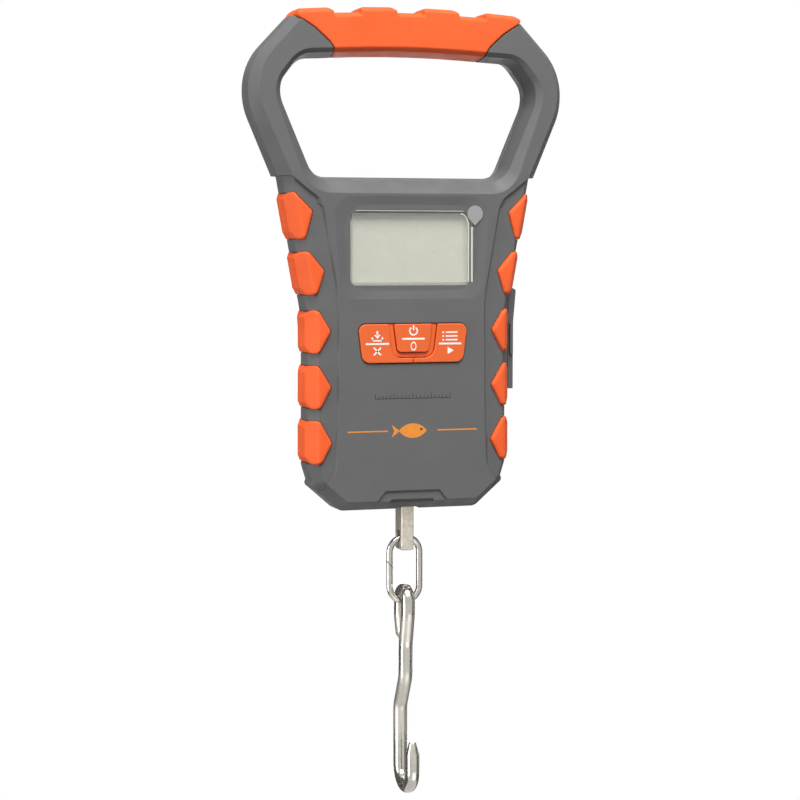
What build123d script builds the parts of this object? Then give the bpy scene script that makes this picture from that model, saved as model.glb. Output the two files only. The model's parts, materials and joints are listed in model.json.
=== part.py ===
from build123d import *
import math
import os

# Hand-held digital fish scale. Millimetres, +X to the right of a person reading the display, +Y away from
# that person, +Z up. The origin is the middle of the grip bar, where a hand carries the whole scale.

# ---------------------------------------------------------------- driving dimensions
HALF_FLAT = 5.0            # half depth of the flat band round the side of the housing
HALF_HANDLE = 11.5         # half depth at the raised handle and centre panel
HALF_BODY = 10.5           # half depth at the lower side strips, which carry the rubber pads
CHAMFER_ANGLE = 30.0       # slope of the broad bevel between side band and front face
GRIP_ANGLE = 20.0          # the same bevel on the rubber grip
TOP_THIN = 1.9             # each face of the handle leans in by this much towards the grip
WALL_DEPTH = 8.5           # half depth of the plain wall round the hand opening, before its bevel
WALL_DRAFT = 1.5           # how far that wall opens out over this depth
WALL_LAND = 0.6            # half width of the flat land where the two halves meet

GRIP_HALF = 44.6           # where the top of the grip bar turns into the arms
GRIP_TOP = 8.3
GRIP_UNDER = -7.8
RIDGE_RISE = 1.9
RIDGE_WIDTH = 15.0
RIDGE_PITCH = 24.4
SKIN_GROOVE = 0.35         # fine gap between rubber and housing

ARM_OUT = 62.3             # widest point of the handle
ARM_IN = 49.4              # half width of the hand opening
OPENING_FLOOR = -53.8
STEP_Z = -53.6             # lower end of the raised handle
BODY_BOTTOM = -180.5

LENS_W, LENS_H, LENS_Z, LENS_R = 49.2, 27.4, -81.0, 2.2
LENS_FACE = -11.1
LENS_T = 2.0
LCD_W, LCD_H = 46.0, 25.0

KEY_TOP, KEY_BOTTOM = -109.3, -124.0
KEY_TOP_HALF, KEY_BOTTOM_HALF = 21.9, 20.0
KEY_FACE = -12.3
KEY_TRAVEL = 0.5
KEY_GAP = 0.3
U_GROOVE = 2.2             # width of the groove round the centre key

PCB_FRONT, PCB_BACK = -4.7, -3.1

CELL_R, CELL_LEN = 5.25, 44.5          # AAA cell
CELL_PITCH = 11.3
CELL_Y = 3.75
CELL_RIGHT = 39.2
PACK_Z = -115.7
SEAT_X = 41.5                          # flat seat that the battery door closes on
DOOR_OUT = 45.6
DOOR_LEAN = 1.5            # the door's lower part is thinner by this much, clear of the hinge
DOOR_FRONT, DOOR_BACK = -2.6, 9.6
HINGE_X, HINGE_Y = 43.9, 7.6
HINGE_R = 1.9
PIN_R = 0.75

LOAD_Y = -1.2              # the load line: bar, link and hook hang here
BAR_W, BAR_D = 5.0, 8.0
BAR_END = -197.0
BAR_HOLE_Z = -191.65
LINK_WIRE = 1.25
LINK_R = 6.05
LINK_TOP_Z = -192.15
LINK_LENGTH = 25.0         # centre line, top to bottom
HOOK_WIRE = 2.72
EYE_R = 4.4
EYE_TOP_Z = -212.85

BEAM_HALF, BEAM_SIDE, BEAM_TOP = 32.0, 12.7, -139.6
CORE_HALF_LEN, CORE_TOP, CORE_UNDER, CORE_HALF = 42.0, 4.2, -4.2, 7.2
ARM_HOLLOW = 7.0
CHAMBER_INSET, CHAMBER_HALF = 3.2, 8.3
STRIP_ANGLE = 28.0
SIDE_LEAN = 0.183
CROWN_R = 520.0
PAD_SINK, PAD_RISE = 0.8, 1.3
PAD_EDGE_ANGLE = 24.0
SLIVER = 5.0               # a pad's offcut below this volume is left out
KEY_BACK, WEB_FRONT = -9.2, -8.5
KEY_X, KEY_Z = (-15.0, 0.0, 15.0), -115.6
SWITCH_FRONT = -6.9
PLUNGER_IN = 0.5           # how far a plunger reaches into its switch
FILM_T = 0.12
GLASS_W, GLASS_H = 49.2, 28.2
BOARD_SCREW_X, BOARD_SCREW_Z = 29.4, (-69.5, -127.0)
BOX_LEFT, BOX_RIGHT, BOX_HALF = -8.4, 36.0, 18.3
BOX_PLAY = 0.1
SEAT_FRONT, SEAT_HALF = -3.4, 19.6
DOOR_IN = 42.0
LUG_SPANS = [(-99.4, -96.1), (-135.3, -132.0)]
LUG_GAP = 0.2
HEAD_R, HEAD_Y, BOSS_R = 2.7, 6.2, 3.6
BAR_HOLE_HALF = 4.75
BEAM_SCREW_X = (20.0, 28.0)
FLEX_X = 7.0               # the thin places of the load cell
SLOT_R, SLOT_SHIFT = 2.2, 0.45
ANCHOR_END, ANCHOR_BACK = 14.0, 8.0
ANCHOR_SCREW_X, ANCHOR_SCREW_Z = (-28.0, -18.0), -127.0
ARM_BOTTOM = -157.0
SHANK_BACK, BOWL_R, BOWL_Z = 5.3, 7.6, -281.8
TIP_SHOULDER_Z, TIP_LENGTH = -275.6, 5.0
SCREW_SPOTS = [(53.0, -33.0), (35.6, -63.8), (29.2, -167.0)]
SCREW_R, SCREW_TIP = 1.3, -6.0
PAD_CORNER, PAD_CORNER_HEIGHT = 1.6, 2.2   # the slanted ends of a pad on the side of the housing
# One pad: tip x and z, top and bottom, tip to upper and lower shoulder, slope of the top edge.
PADS = [
    (38.8, -66.8, -59.7, -77.3, 7.2, 2.9, 0.14),
    (34.3, -89.2, -81.8, -98.3, 6.2, 3.0, 0.08),
    (31.8, -112.0, -104.0, -120.3, 4.9, 4.8, 0.0),
    (31.7, -133.0, -124.8, -141.2, 5.1, 4.4, 0.0),
    (31.5, -154.2, -145.6, -162.1, 4.9, 4.2, 0.0),
]


# ---------------------------------------------------------------- helpers
def outline(points, radii, grow=0.0):
    """A flat face in the X-Z plane with a fillet radius for each corner, grown outwards by an even margin."""
    count = len(points)
    area = sum(points[i - 1][0] * points[i][1] - points[i][0] * points[i - 1][1] for i in range(count))
    side = 1 if area > 0 else -1
    corners = []
    rounds = []
    for i, point in enumerate(points):
        before = Vector(*point) - Vector(*points[i - 1])
        after = Vector(*points[(i + 1) % count]) - Vector(*point)
        before, after = before.normalized(), after.normalized()
        turn = side * (before.X * after.Y - before.Y * after.X)
        out_before = Vector(before.Y, -before.X) * side
        out_after = Vector(after.Y, -after.X) * side
        shift = (out_before + out_after) * (grow / (1 + out_before.dot(out_after)))
        corners.append((point[0] + shift.X, point[1] + shift.Y))
        rounds.append(max(radii[i] + math.copysign(grow, turn), 0.3))
    wire = Wire(FilletPolyline(*corners, radius=rounds, close=True).edges())
    return Plane.XZ * make_face(wire)


def mirrored(points):
    """A right-hand half outline, from the top down, closed by its own left-hand copy."""
    return points + [(-x, z) for x, z in reversed(points)]


def at_depth(shape, y):
    return Pos(0, y, 0) * shape


def prism(face, y_front, y_back):
    """The face pushed from y_front to y_back."""
    return extrude(at_depth(face, y_back), amount=y_back - y_front, dir=(0, -1, 0))


def slab(face, half_flat, half_top, angle):
    """A face made into a body with a flat side band and bevels towards front and back."""
    band = prism(face, -half_flat, half_flat)
    bevel = extrude(at_depth(face, -half_flat), amount=half_top - half_flat, taper=angle)
    return band + bevel + mirror(bevel, Plane.XZ)


def box(x0, x1, y0, y1, z0, z1):
    return Pos((x0 + x1) / 2, (y0 + y1) / 2, (z0 + z1) / 2) * Box(x1 - x0, y1 - y0, z1 - z0)


def rod_y(x, z, radius, y0, y1):
    """A round bar along Y."""
    return Pos(x, (y0 + y1) / 2, z) * Rot(90, 0, 0) * Cylinder(radius, y1 - y0)


def rod_x(y, z, radius, x0, x1):
    return Pos((x0 + x1) / 2, y, z) * Rot(0, 90, 0) * Cylinder(radius, x1 - x0)


def rod_z(x, y, radius, z0, z1):
    return Pos(x, y, (z0 + z1) / 2) * Cylinder(radius, z1 - z0)


def both_sides(shape):
    return shape + mirror(shape, Plane.YZ)


def front_half(shape):
    return shape & box(-80, 80, -30, 0, -210, 30)


def rear_half(shape):
    return shape & box(-80, 80, 0, 30, -210, 30)


def fused(shapes):
    """All the shapes as one."""
    shapes = list(shapes)
    whole = shapes[0]
    for shape in shapes[1:]:
        whole = whole + shape
    return whole


def save(shape, name):
    solids = shape.solids()
    whole = solids[0] if len(solids) == 1 else Compound(children=list(solids))
    export_step(whole, f"parts/{name}.step")


def save_group(shapes, name):
    """Separate solids of one kind in one file."""
    solids = [solid for shape in shapes for solid in shape.solids()]
    export_step(Compound(children=solids), f"parts/{name}.step")


# ---------------------------------------------------------------- housing outlines
def handle_outline():
    """Raised part: the looped handle, running down into the tapering centre panel."""
    half = [
        (0, GRIP_TOP + 0.35), (GRIP_HALF, GRIP_TOP - 1.5), (ARM_OUT, -12.0), (ARM_OUT, -27.4),
        (48.9, -59.0), (38.9, -64.2), (32.6, -100.0), (33.0, -146.0), (33.6, -162.5), (38.9, -170.4),
        (27.3, BODY_BOTTOM),
    ]
    radii = [500, 6, 24, 26, 0.8, 5, 60, 40, 6, 1.5, 4]
    points = half + [(-x, z) for x, z in reversed(half[1:])]
    return outline(points, radii + radii[:0:-1])


def side_x(z):
    """Half width of the lower body at one height, where its sides lean."""
    return 49.2 + SIDE_LEAN * (z - STEP_Z + 0.8)


def body_outline(inset=0.0, top=STEP_Z + 7.0):
    """Lower body with the side strips, which start inside the foot of the handle."""
    half = [(side_x(top), top), (39.6, -106.9), (39.8, -163.2), (37.6, -170.2), (26.6, -179.7)]
    radii = [0.5, 60, 6, 2, 4]
    return outline(mirrored(half), radii + radii[::-1], -inset)


def opening_outline(grow=0.0, dip=0.0):
    """The hand opening inside the handle loop, with its lower edge dropped by the dip."""
    floor_z = OPENING_FLOOR - dip
    half = [(0, GRIP_UNDER + 0.3), (42.3, -9.7), (ARM_IN, -19.0), (ARM_IN, -24.5), (37.0, floor_z)]
    radii = [450, 8, 9, 12, 8]
    points = half + [(-x, z) for x, z in reversed(half[1:])]
    return outline(points, radii + radii[:0:-1], grow)


def hand_opening():
    """The opening through the handle: a wall that opens out to both sides, then a broad bevel."""
    middle = at_depth(opening_outline(), -WALL_LAND)
    edge = at_depth(opening_outline(WALL_DRAFT), -WALL_DEPTH)
    rim = at_depth(opening_outline(WALL_DRAFT + 4.0, 2.2), -WALL_DEPTH - 4.0)
    front = loft([middle, edge], ruled=True) + loft([edge, rim], ruled=True)
    return front + mirror(front, Plane.XZ) + prism(opening_outline(), -WALL_LAND, WALL_LAND)


def lean_cut():
    """What is taken off the front and back of the handle, so that it gets thinner towards the grip."""
    low, high = STEP_Z + 2.0, 20.0
    face = HALF_HANDLE - TOP_THIN * (high - low) / (GRIP_TOP - low)
    wedge = Plane.YZ * make_face(Polyline((HALF_HANDLE, low), (30, low), (30, high), (face, high), close=True))
    wedge = extrude(wedge, amount=80, both=True)
    return wedge + mirror(wedge, Plane.XZ)


def envelope():
    """The housing's outer form without rubber."""
    raised = slab(handle_outline(), HALF_FLAT, HALF_HANDLE, CHAMFER_ANGLE)
    foot = [(60, STEP_Z), (47.1, STEP_Z), (36.9, -61.9), (38.2, -64.6), (60, -64.6)]
    raised = raised - both_sides(prism(outline(foot, [0] * 5), -20, 20))
    strips = slab(body_outline(), HALF_FLAT, HALF_BODY, STRIP_ANGLE)
    return raised + strips - hand_opening() - lean_cut()


# ---------------------------------------------------------------- rubber grip
def grip_zone(gap=0.0):
    """Everything between the two curved ends of the rubber on the grip bar."""
    half = [(47.6, 14.0), (44.4, 5.6), (37.4, 1.2), (30.6, -5.0), (28.0, -14.0)]
    radii = [0, 5, 6, 6, 0]
    face = outline(mirrored(half), radii + radii[::-1], gap)
    return prism(face, -16, 16)


def grip_core():
    """The moulded bar under the rubber."""
    half_height = (CORE_TOP - CORE_UNDER) / 2
    face = rect(CORE_HALF_LEN, half_height, 0, (CORE_TOP + CORE_UNDER) / 2, 2)
    return prism(face, -CORE_HALF, CORE_HALF)


def ridge(x):
    """One raised finger rest across the top of the grip."""
    top = GRIP_TOP + RIDGE_RISE
    drop = (HALF_HANDLE - HALF_FLAT) * math.tan(math.radians(GRIP_ANGLE))
    half = [(HALF_FLAT, top), (HALF_HANDLE - 0.1, top - drop), (HALF_HANDLE - 0.6, 3.0)]
    section = Plane.YZ * make_face(Polyline(*mirrored(half), close=True))
    bar = extrude(section, amount=RIDGE_WIDTH / 2, both=True)
    foot = RIDGE_WIDTH / 2
    trapezoid = outline([(-foot, 0), (foot, 0), (foot - 0.6, top - 1.0), (foot - 2.0, top + 0.05),
                         (2.0 - foot, top + 0.05), (0.6 - foot, top - 1.0)], [0, 0, 1, 0.5, 0.5, 1])
    bar = bar & prism(trapezoid, -20, 20)
    sag = x * x / (2 * CROWN_R)
    return Pos(x, 0, -sag) * Rot(0, math.degrees(x / CROWN_R), 0) * bar


def grips():
    bar = slab(handle_outline(), HALF_FLAT, HALF_HANDLE, GRIP_ANGLE)
    bar = bar - hand_opening()
    for step in (-1.5, -0.5, 0.5, 1.5):
        bar += ridge(step * RIDGE_PITCH)
    skin = (bar & grip_zone()) - grip_core() - lean_cut()
    save(front_half(skin), "grip_front")
    save(rear_half(skin), "grip_rear")


# ---------------------------------------------------------------- side pads
def pad_arrows(soft_top=False):
    """Arrow outlines of the five pads on the right-hand side, as bars through the housing."""
    bars = []
    for tip_x, tip_z, top, bottom, upper, lower, slope in PADS:
        upper_x = tip_x + upper
        end_z = top - slope * (70 - upper_x)
        points = [(70, end_z), (upper_x, top), (tip_x, tip_z), (tip_x + lower, bottom), (70, bottom)]
        arrow = outline(points, [0.3, 1.2, 1.4, 1.2, 0.3])
        if soft_top:
            bars.append(slab(arrow, HALF_BODY - 0.2, HALF_BODY + PAD_RISE + 0.1, PAD_EDGE_ANGLE))
        else:
            bars.append(prism(arrow, -20, 20))
    return bars


def pad_seat():
    """The form that the pads are moulded on, a little inside the side strips."""
    return slab(body_outline(PAD_SINK), HALF_FLAT, HALF_BODY - PAD_SINK, STRIP_ANGLE)


def pad_corner_cuts(pad):
    """Slants across the outer ends of one pad, where it wraps onto the side of the housing."""
    extent = pad.bounding_box()
    cuts = []
    for end, way in ((extent.max.Z, -1), (extent.min.Z, 1)):
        inner = end + way * PAD_CORNER_HEIGHT
        surface = max(side_x(min(end, inner)), 39.6) + PAD_RISE
        foot = surface - PAD_CORNER
        slant = [(foot, end - way), (foot, end), (surface, inner), (60, inner), (60, end - way)]
        cuts.append(prism(outline(slant, [0] * 5), -20, 20))
    return fused(cuts)


def pads(seat):
    proud = slab(body_outline(-PAD_RISE), HALF_FLAT, HALF_BODY + PAD_RISE, STRIP_ANGLE)
    whole = [(proud & arrow) - seat for arrow in pad_arrows(soft_top=True)]
    return [pad - pad_corner_cuts(pad) for pad in whole]


def save_pads(seat, hatch_zone):
    right = []
    left = []
    for pad in pads(seat):
        left.append(mirror(pad, Plane.YZ))
        right.append(pad - hatch_zone)
    for side, group in (("left", left), ("right", right)):
        for place, half in (("front", front_half), ("rear", rear_half)):
            solids = [solid for pad in group for solid in half(pad).solids() if solid.volume > SLIVER]
            save_group(solids, f"pads_{place}_{side}")


# ---------------------------------------------------------------- housing shells
def key_outline(gap=0.0):
    half = [(KEY_TOP_HALF, KEY_TOP), (KEY_BOTTOM_HALF, KEY_BOTTOM)]
    return outline(mirrored(half), [2.8, 3.2, 3.2, 2.8], gap)


def centre_key_outline(gap=0.0):
    half = [(7.6, KEY_TOP), (6.2, KEY_BOTTOM + 4.0)]
    return outline(mirrored(half), [0.6, 1.8, 1.8, 0.6], gap)


def rect(half_w, half_h, x=0.0, z=0.0, radius=0.5):
    left, right, top, bottom = x - half_w, x + half_w, z + half_h, z - half_h
    return outline([(right, top), (right, bottom), (left, bottom), (left, top)], [radius] * 4)


def cavities():
    """Hollows inside the moulded shells: main chamber, battery bay and the two arms."""
    chamber = prism(body_outline(CHAMBER_INSET, top=-61.0), -CHAMBER_HALF, CHAMBER_HALF)
    front_bay = box(-27, 27, -9.3, 0, -130.0, -64.0)
    bay_half = BOX_HALF + BOX_PLAY
    battery_bay = box(BOX_LEFT - BOX_PLAY, BOX_RIGHT + BOX_PLAY, 0, DOOR_BACK - 0.3,
                      PACK_Z - bay_half, PACK_Z + bay_half)
    bend = [(50.5, -11.5), (58.2, -17.0), (58.2, -27.5), (49.2, -48.5), (43.6, -48.5), (53.0, -24.0)]
    hollow = prism(outline(bend, [1.5, 6, 12, 2, 2, 8]), -ARM_HOLLOW, ARM_HOLLOW)
    return chamber + front_bay + battery_bay + both_sides(hollow)


def display_cuts():
    top_half, low_half = (31.2, -61.0), (28.4, -99.8)
    rim = at_depth(outline(mirrored([top_half, low_half]), [6.5] * 4, 0.3), -HALF_HANDLE - 0.05)
    bed = at_depth(outline(mirrored([top_half, low_half]), [6.5] * 4, -3.2), -HALF_HANDLE + 0.6)
    dish_cut = loft([rim, bed], ruled=True)
    window = prism(rect(LENS_W / 2, LENS_H / 2, 0, LENS_Z, LENS_R), -20, -5)
    keys = prism(key_outline(KEY_GAP), -20, -5)
    return dish_cut + window + keys


def bottom_cuts():
    """Relief round the load bar at the lower front edge, and the hole that the bar comes out of."""
    relief = outline(mirrored([(10.8, -172.9), (14.3, -177.2), (14.3, -190)]), [1.2, 1, 0, 0, 1, 1.2])
    throat = outline(mirrored([(8.4, -176.3), (9.6, -178.6), (9.6, -190)]), [1, 0.8, 0, 0, 0.8, 1])
    half_depth = BAR_D / 2 + 1.0
    hole = box(-BAR_HOLE_HALF, BAR_HOLE_HALF, LOAD_Y - half_depth, LOAD_Y + half_depth, -190, -170)
    return prism(relief, -20, 0.7 - HALF_HANDLE) + prism(throat, -20, 1.8 - HALF_HANDLE) + hole


def at_screw_spots(make):
    """A shape at every housing screw, on both sides."""
    return both_sides(fused(make(x, z) for x, z in SCREW_SPOTS))


def screw_wells():
    return at_screw_spots(lambda x, z: rod_y(x, z, HEAD_R + 0.3, HEAD_Y, 14)
                          + rod_y(x, z, SCREW_R + 0.3, 0, HEAD_Y))


def screw_pilots():
    return at_screw_spots(lambda x, z: rod_y(x, z, SCREW_R, SCREW_TIP - 0.5, 0))


def bosses(y0, y1):
    return at_screw_spots(lambda x, z: rod_y(x, z, BOSS_R, y0, y1))


def board_posts():
    posts = fused(rod_y(BOARD_SCREW_X, z, 2.4, -9.0, PCB_FRONT) for z in BOARD_SCREW_Z)
    pilots = fused(rod_y(BOARD_SCREW_X, z, 0.9, -8.2, PCB_FRONT) for z in BOARD_SCREW_Z)
    return both_sides(posts - pilots)


def seat_block():
    """Flat-faced frame that the battery door closes on, and the two hinge lugs behind it."""
    top, bottom = PACK_Z + SEAT_HALF, PACK_Z - SEAT_HALF
    corners = [(34.0, top), (SEAT_X, top), (SEAT_X, bottom), (34.0, bottom)]
    block = prism(outline(corners, [0, 1.5, 1.5, 0]), SEAT_FRONT, HALF_BODY)
    y0, y1 = HINGE_Y - HINGE_R, HINGE_Y + HINGE_R
    lugs = fused(rod_z(HINGE_X, HINGE_Y, HINGE_R, z0, z1) + box(SEAT_X - 1, HINGE_X, y0, y1, z0, z1)
                 for z0, z1 in LUG_SPANS)
    return block, lugs - hinge_pin(PIN_R)


def hinge_pin(radius):
    """The door's pin, whose ends stop inside the two lugs."""
    return rod_z(HINGE_X, HINGE_Y, radius, LUG_SPANS[1][0] + 0.6, LUG_SPANS[0][1] - 0.6)


def battery_hole():
    """Opening that the cells go in by, and the clearance for the round hinge edge of the door."""
    hole = prism(rect(6.5, 17.4, SEAT_X - 6.0, PACK_Z, 2), -2.0, DOOR_BACK - 0.4)
    knuckle = rod_z(HINGE_X, HINGE_Y, HINGE_R + 0.3, LUG_SPANS[1][1] - 0.1, LUG_SPANS[0][0] + 0.1)
    return hole + knuckle


def seal_ring(extra=0.0):
    """The soft cord laid in the joint between the two shells."""
    ring = prism(body_outline(1.1 - extra, top=-57.6), -0.5 - extra, 0.5 + extra)
    ring = ring - prism(body_outline(2.1 + extra, top=-57.6), -2, 2)
    ring = ring - box(30, 50, -3, 3, PACK_Z - 20.0, PACK_Z + 20.0)
    return ring - box(-BAR_HOLE_HALF - 1, BAR_HOLE_HALF + 1, -3, 3, -190, -170)


def shells(shell, seat):
    block, lugs = seat_block()
    rubber_room = both_sides(fused(pad_arrows())) - seat
    body = (shell - grip_zone(SKIN_GROOVE)) - rubber_room + grip_core() + block - cavities()
    body = body - battery_hole() - display_cuts() - bottom_cuts() - seal_ring(0.05)
    front = front_half(body) + (bosses(-9.0, 0) & shell) + board_posts() - screw_pilots()
    rear = rear_half(body) + (bosses(0, 9.0) & shell) + lugs - screw_wells()
    rear = rear + anchor_holes(3.4, ANCHOR_BACK, 9.0) - anchor_holes(1.5, ANCHOR_BACK - 1, 9.6)
    label = prism(rect(20, 13, 0, -82.0, 3), HALF_HANDLE - 0.3, 20)
    save(front, "front_cover")
    save(rear - label, "rear_cover")
    save(seal_ring(), "perimeter_seal")


def anchor_holes(radius, y0, y1):
    """Round bars where the load cell's bracket is screwed to the rear cover."""
    return fused(rod_y(x, ANCHOR_SCREW_Z, radius, y0, y1) for x in ANCHOR_SCREW_X)


def housing_screws():
    def screw(x, z):
        driver = Pos(x, HEAD_Y + 1.6, z)
        body = rod_y(x, z, HEAD_R, HEAD_Y, HEAD_Y + 2.0) + rod_y(x, z, SCREW_R, SCREW_TIP, HEAD_Y)
        return body - driver * Box(3.4, 1.0, 0.8) - driver * Box(0.8, 1.0, 3.4)

    save(at_screw_spots(screw), "housing_screws")


# ---------------------------------------------------------------- display
def display():
    lens_back = LENS_FACE + LENS_T
    glass_front = lens_back + 0.8
    glass_back = -6.0
    save(prism(rect(LENS_W / 2, LENS_H / 2, 0, LENS_Z, LENS_R), LENS_FACE, lens_back), "display_lens")
    cover = rect(LENS_W / 2 - 0.4, LENS_H / 2 - 0.4, 0, LENS_Z, 2.8)
    film = prism(cover, LENS_FACE - FILM_T, LENS_FACE)
    tab = rod_y(25.6, -67.6, 2.9, LENS_FACE - 2 * FILM_T, LENS_FACE - FILM_T)
    tail = Pos(23.2, LENS_FACE - 1.5 * FILM_T, -69.8) * Rot(0, 45, 0) * Box(6.0, FILM_T, 3.6)
    save(film + tab + tail, "display_film")
    frame = prism(rect(26.5, 16.0, 0, LENS_Z, 1), lens_back, -5.6)
    frame = frame - prism(rect(LCD_W / 2, LCD_H / 2, 0, LENS_Z, 0.6), -20, 0)
    glass = rect(GLASS_W / 2, GLASS_H / 2, 0, LENS_Z, 0.4)
    save(frame - prism(glass, glass_front, 0), "lcd_holder")
    save(prism(glass, glass_front, glass_back), "lcd_glass")
    glass_foot = LENS_Z - GLASS_H / 2
    save(box(-23, 23, glass_back, PCB_FRONT, glass_foot, glass_foot + 1.8), "zebra_strip")


# ---------------------------------------------------------------- keypad
def keypad():
    save(soft_face(prism(centre_key_outline(), KEY_FACE, KEY_BACK)), "power_key")
    rest = prism(key_outline() - centre_key_outline(U_GROOVE), KEY_FACE, KEY_BACK)
    right = rest & box(0.1, 40, -20, 0, -130, -100)
    save(soft_face(right), "select_key")
    save(soft_face(mirror(right, Plane.YZ)), "save_key")
    web = prism(rect(25.0, 10.0, 0, (KEY_TOP + KEY_BOTTOM) / 2, 2), WEB_FRONT, WEB_FRONT + 1.0)
    frame = centre_key_outline(U_GROOVE - KEY_GAP) - centre_key_outline(KEY_GAP)
    rib = prism(frame, -HALF_HANDLE + 0.3, WEB_FRONT + 0.5) & box(-20, 20, -20, 0, KEY_BOTTOM, KEY_TOP)
    save(web + rib - fused(rod_y(x, KEY_Z, 1.4, -20, 0) for x in KEY_X), "keypad_web")
    switches = []
    for name, x in zip(("save", "power", "select"), KEY_X):
        save(rod_y(x, KEY_Z, 1.0, KEY_BACK, SWITCH_FRONT + PLUNGER_IN), f"{name}_plunger")
        well = rod_y(x, KEY_Z, 1.3, SWITCH_FRONT - 1, SWITCH_FRONT + PLUNGER_IN + KEY_TRAVEL + 0.3)
        switches.append(prism(rect(2.6, 2.6, x, KEY_Z, 0.4), SWITCH_FRONT, PCB_FRONT) - well)
    save_group(switches, "key_switches")


def soft_face(key):
    edges = key.edges().filter_by(lambda e: abs(e.center().Y - KEY_FACE) < 0.01)
    return fillet(edges, 0.35)


# ---------------------------------------------------------------- electronics
def electronics():
    board = prism(rect(32.0, 32.5, 0, -98.0, 1.5), PCB_FRONT, PCB_BACK)
    holes = fused(rod_y(BOARD_SCREW_X, z, 1.1, -10, 0) for z in BOARD_SCREW_Z)
    heads = fused(rod_y(BOARD_SCREW_X, z, 2.0, PCB_BACK, PCB_BACK + 0.5) for z in BOARD_SCREW_Z)
    stems = fused(rod_y(BOARD_SCREW_X, z, 0.9, PCB_FRONT - 3, PCB_BACK) for z in BOARD_SCREW_Z)
    save(board - both_sides(holes), "main_board")
    save(both_sides(heads + stems), "board_screws")
    processor = box(-24, -14, PCB_BACK, PCB_BACK + 1.4, -112, -102)
    converter = box(-22, -17, PCB_BACK, PCB_BACK + 1.2, -122, -118)
    regulator = box(-12.5, -9.5, PCB_BACK, PCB_BACK + 1.0, -94, -88)
    save_group([processor, converter, regulator], "board_chips")
    buzzer = rod_y(-19, -81, 6.0, PCB_BACK, PCB_BACK + 3.2)
    save(buzzer - rod_y(-19, -81, 0.9, PCB_BACK + 1, PCB_BACK + 4), "buzzer")


# ---------------------------------------------------------------- battery pack
def cell_rows():
    """Heights of the three cells."""
    return [PACK_Z + step * CELL_PITCH for step in (-1, 0, 1)]


def battery_pack():
    case = box(BOX_LEFT, BOX_RIGHT, -2.5, DOOR_BACK - 0.4, PACK_Z - BOX_HALF, PACK_Z + BOX_HALF)
    button = CELL_RIGHT - 0.9
    left = CELL_RIGHT - CELL_LEN
    plate_left, plate_right = BOX_LEFT + 1.0, BOX_LEFT + 1.4
    cells = []
    springs = []
    contacts = []
    for z in cell_rows():
        case = case - rod_x(CELL_Y, z, CELL_R + 0.2, plate_left, BOX_RIGHT + 1)
        cells.append(rod_x(CELL_Y, z, CELL_R, left, button) + rod_x(CELL_Y, z, 1.9, button, CELL_RIGHT))
        place = Pos((plate_right + left) / 2, CELL_Y, z) * Rot(0, 90, 0)
        spring = place * Cone(4.2, 2.6, left - plate_right)
        springs.append(spring - rod_x(CELL_Y, z, 1.8, BOX_LEFT, left + 1))
        contacts.append(rod_x(CELL_Y, z, 4.6, plate_left, plate_right))
    save(case, "battery_box")
    save_group(cells, "batteries")
    save_group(springs, "battery_springs")
    save_group(contacts, "inner_contacts")


def battery_door():
    top, bottom = LUG_SPANS[0][1], LUG_SPANS[1][0]
    corners = [(DOOR_IN, top), (DOOR_OUT, top), (DOOR_OUT, bottom), (DOOR_IN, bottom)]
    plate = prism(outline(corners, [0.4, 2.2, 2.2, 0.4]), DOOR_FRONT, HINGE_Y)
    knuckle_top, knuckle_bottom = LUG_SPANS[0][0] - LUG_GAP, LUG_SPANS[1][1] + LUG_GAP
    for z0, z1 in ((knuckle_top, 0), (-200, knuckle_bottom)):
        plate = plate - box(40, 50, HINGE_Y - 2.4, 20, z0, z1)
    knuckle = rod_z(HINGE_X, HINGE_Y, HINGE_R, knuckle_bottom, knuckle_top)
    face = DOOR_OUT - DOOR_LEAN
    lean = [(DOOR_OUT - 0.2, top + 1), (face, top - 14.0), (face, bottom - 1), (60, bottom - 1), (60, top + 1)]
    plate = plate - prism(outline(lean, [0] * 5), -10, HINGE_Y - HINGE_R - 0.4)
    ledge = box(DOOR_IN + 0.5, face - 0.4, DOOR_FRONT - 1.2, DOOR_FRONT, PACK_Z - 6, PACK_Z + 6)
    grooves = fused(box(face - 0.4, DOOR_OUT + 1, -0.8, 4.6, PACK_Z + step - 0.6, PACK_Z + step + 0.6)
                    for step in (-3.2, 0.0, 3.2))
    bore = rod_z(HINGE_X, HINGE_Y, PIN_R + 0.05, -200, 0)
    save(plate + knuckle + ledge - bore - grooves, "battery_door")
    save(hinge_pin(PIN_R), "door_hinge_pin")
    tabs = [box(CELL_RIGHT + 0.1, DOOR_IN, CELL_Y - 2.6, CELL_Y + 1.6, z - 2.2, z + 2.2) for z in cell_rows()]
    save_group(tabs, "door_contacts")
    seal = box(SEAT_X, DOOR_IN - 0.1, SEAT_FRONT + 0.3, 5.0, PACK_Z - 19.0, PACK_Z + 19.0)
    save(seal - box(40, 50, -2.1, 6.0, PACK_Z - 17.6, PACK_Z + 17.6), "door_seal")


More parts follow.
